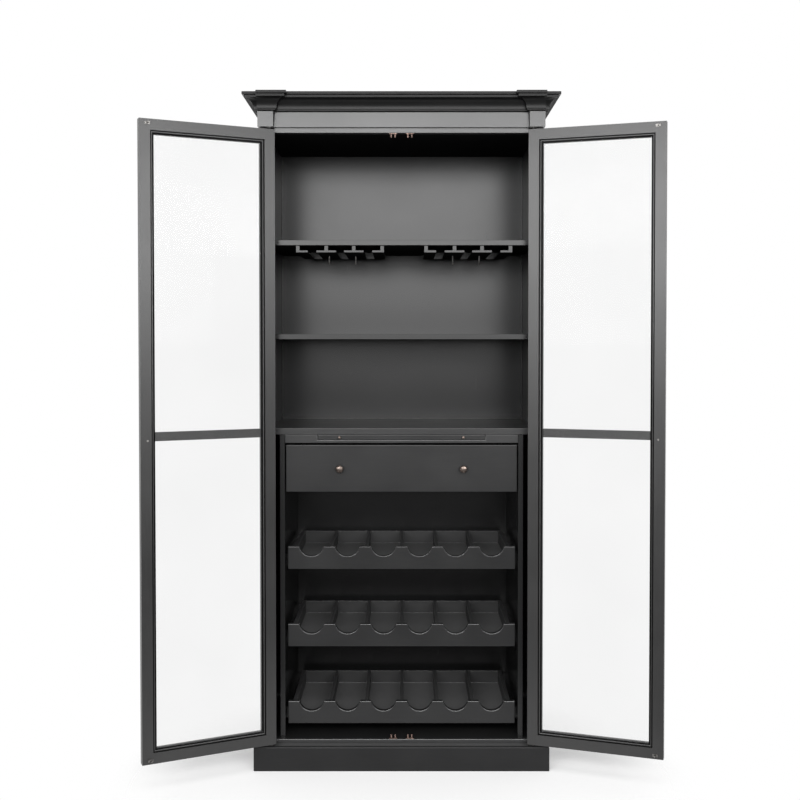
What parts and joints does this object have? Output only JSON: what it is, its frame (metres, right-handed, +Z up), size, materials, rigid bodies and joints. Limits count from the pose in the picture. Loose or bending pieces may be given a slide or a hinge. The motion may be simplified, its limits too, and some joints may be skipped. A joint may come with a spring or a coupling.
{
  "type": "bar armoire",
  "caption": "Tall black painted bar armoire with glazed doors, stemware racks, a pull-out serving tray, a drawer and sliding wine racks with scalloped fronts.",
  "frame": {"origin": "on the floor under the middle of the carcass plan, on the underside of the plinth's centre bearer", "axes": "+Z up, -Y out of the front of the cabinet, +X to the right as seen from the front"},
  "size_m": [1.5375, 0.6589, 2.058],
  "materials": {
    "case_paint": "satin black paint over wood",
    "inside_paint": "satin black paint over wood",
    "storage_paint": "satin black paint over wood",
    "door_paint": "satin black paint over wood",
    "door_glass": "clear float glass",
    "pewter": "dark pewter plating",
    "hinge_steel": "zinc-plated steel",
    "catch_metal": "copper-coloured plating"
  },
  "bodies": {
    "carcass": {"plinth_front": "case_paint", "plinth_side_left": "case_paint", "plinth_side_right": "case_paint", "plinth_bearers": "inside_paint", "side_panel_left": "case_paint", "side_panel_right": "case_paint", "face_stile_left": "case_paint", "face_stile_right": "case_paint", "head_rail": "case_paint", "bottom_panel": "case_paint", "top_panel": "inside_paint", "back_panel": "inside_paint", "frieze_band": "case_paint", "pilaster_cap_left": "case_paint", "pilaster_cap_right": "case_paint", "crown_front": "case_paint", "crown_left": "case_paint", "crown_right": "case_paint", "cornice_cap": "case_paint", "shelf_upper": "inside_paint", "shelf_lower": "inside_paint", "counter_top": "inside_paint", "liner_left": "inside_paint", "liner_right": "inside_paint", "stemware_rack_left": "inside_paint", "stemware_rack_right": "inside_paint", "tray_housing": "inside_paint", "hinge_plate_top_left": "hinge_steel", "hinge_plate_top_right": "hinge_steel", "hinge_plate_bottom_left": "hinge_steel", "hinge_plate_bottom_right": "hinge_steel", "catch_top_left": "catch_metal", "catch_top_right": "catch_metal", "catch_bottom_left": "catch_metal", "catch_bottom_right": "catch_metal"},
    "door_left": {"door_left_frame": "door_paint", "door_left_bead": "door_paint", "door_left_glass": "door_glass", "door_left_knob": "pewter", "door_left_strike_top": "hinge_steel", "door_left_strike_bottom": "hinge_steel"},
    "door_right": {"door_right_frame": "door_paint", "door_right_bead": "door_paint", "door_right_glass": "door_glass", "door_right_knob": "pewter", "door_right_strike_top": "hinge_steel", "door_right_strike_bottom": "hinge_steel"},
    "tray": {"serving_tray": "storage_paint", "tray_knob_left": "pewter", "tray_knob_right": "pewter"},
    "drawer": {"drawer_front": "storage_paint", "drawer_box": "storage_paint", "drawer_knob_left": "pewter", "drawer_knob_right": "pewter"},
    "wine_rack_bottom": {"rack_front_bottom": "storage_paint", "rack_box_bottom": "storage_paint"},
    "wine_rack_middle": {"rack_front_middle": "storage_paint", "rack_box_middle": "storage_paint"},
    "wine_rack_top": {"rack_front_top": "storage_paint", "rack_box_top": "storage_paint"}
  },
  "joints": [
    {"name": "door_left_hinge", "type": "hinge", "parent": "carcass", "child": "door_left", "pos_m": [-0.3975, -0.2455, 1.016], "axis": [0, 0, -1], "range_deg": [-154.5, 10.5]},
    {"name": "door_right_hinge", "type": "hinge", "parent": "carcass", "child": "door_right", "pos_m": [0.3975, -0.2455, 1.016], "axis": [0, 0, 1], "range_deg": [-161.5, 3.5]},
    {"name": "tray_slide", "type": "slide", "parent": "carcass", "child": "tray", "axis": [0, -1, 0], "range_m": [0, 0.28]},
    {"name": "drawer_slide", "type": "slide", "parent": "carcass", "child": "drawer", "axis": [0, -1, 0], "range_m": [0, 0.28]},
    {"name": "rack_slide_bottom", "type": "slide", "parent": "carcass", "child": "wine_rack_bottom", "axis": [0, -1, 0], "range_m": [0, 0.28]},
    {"name": "rack_slide_middle", "type": "slide", "parent": "carcass", "child": "wine_rack_middle", "axis": [0, -1, 0], "range_m": [0, 0.28]},
    {"name": "rack_slide_top", "type": "slide", "parent": "carcass", "child": "wine_rack_top", "axis": [0, -1, 0], "range_m": [0, 0.28]}
  ]
}
